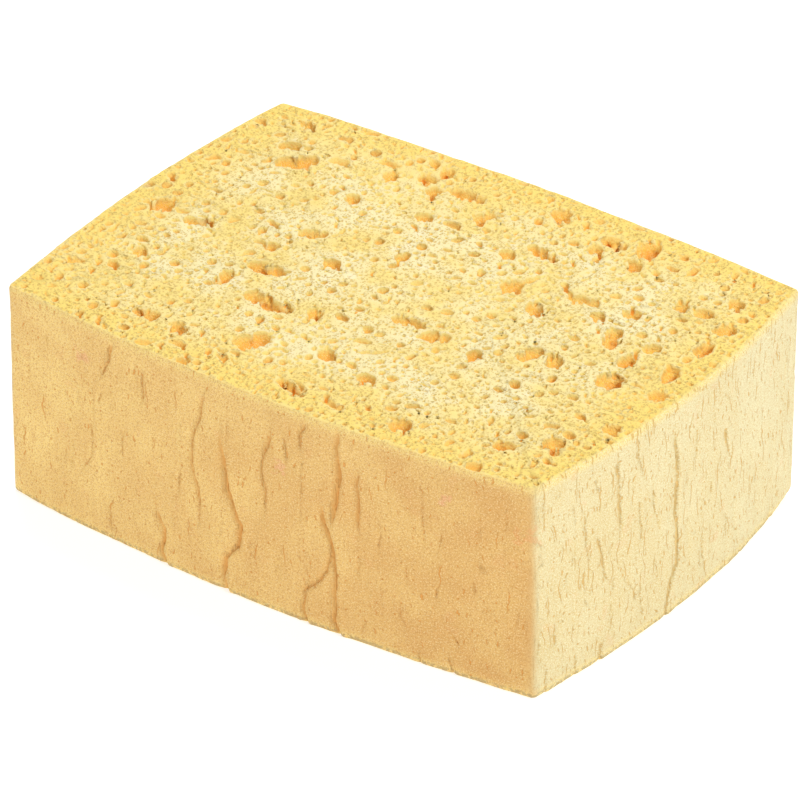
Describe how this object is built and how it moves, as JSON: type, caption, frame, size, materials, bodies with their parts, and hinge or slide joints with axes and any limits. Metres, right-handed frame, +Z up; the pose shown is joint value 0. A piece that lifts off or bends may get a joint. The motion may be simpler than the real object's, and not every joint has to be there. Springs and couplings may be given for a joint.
{
  "type": "grout sponge",
  "caption": "Thick rectangular block of open-cell cellulose foam for wiping grout and tiles, with flat porous cut faces and swollen, creased sides.",
  "frame": {"origin": "middle of the block's bounding box on its bottom cut face", "axes": "+X along the length, +Y along the width towards the less swollen long side, +Z up through the thickness"},
  "size_m": [0.19, 0.138, 0.068],
  "materials": {
    "cellulose_foam": "matte open-cell cellulose foam, cream yellow on the cut faces and inside the cells orange, with a denser speckled skin on the sides"
  },
  "bodies": {
    "root": {"sponge_block": "cellulose_foam"}
  },
  "joints": []
}
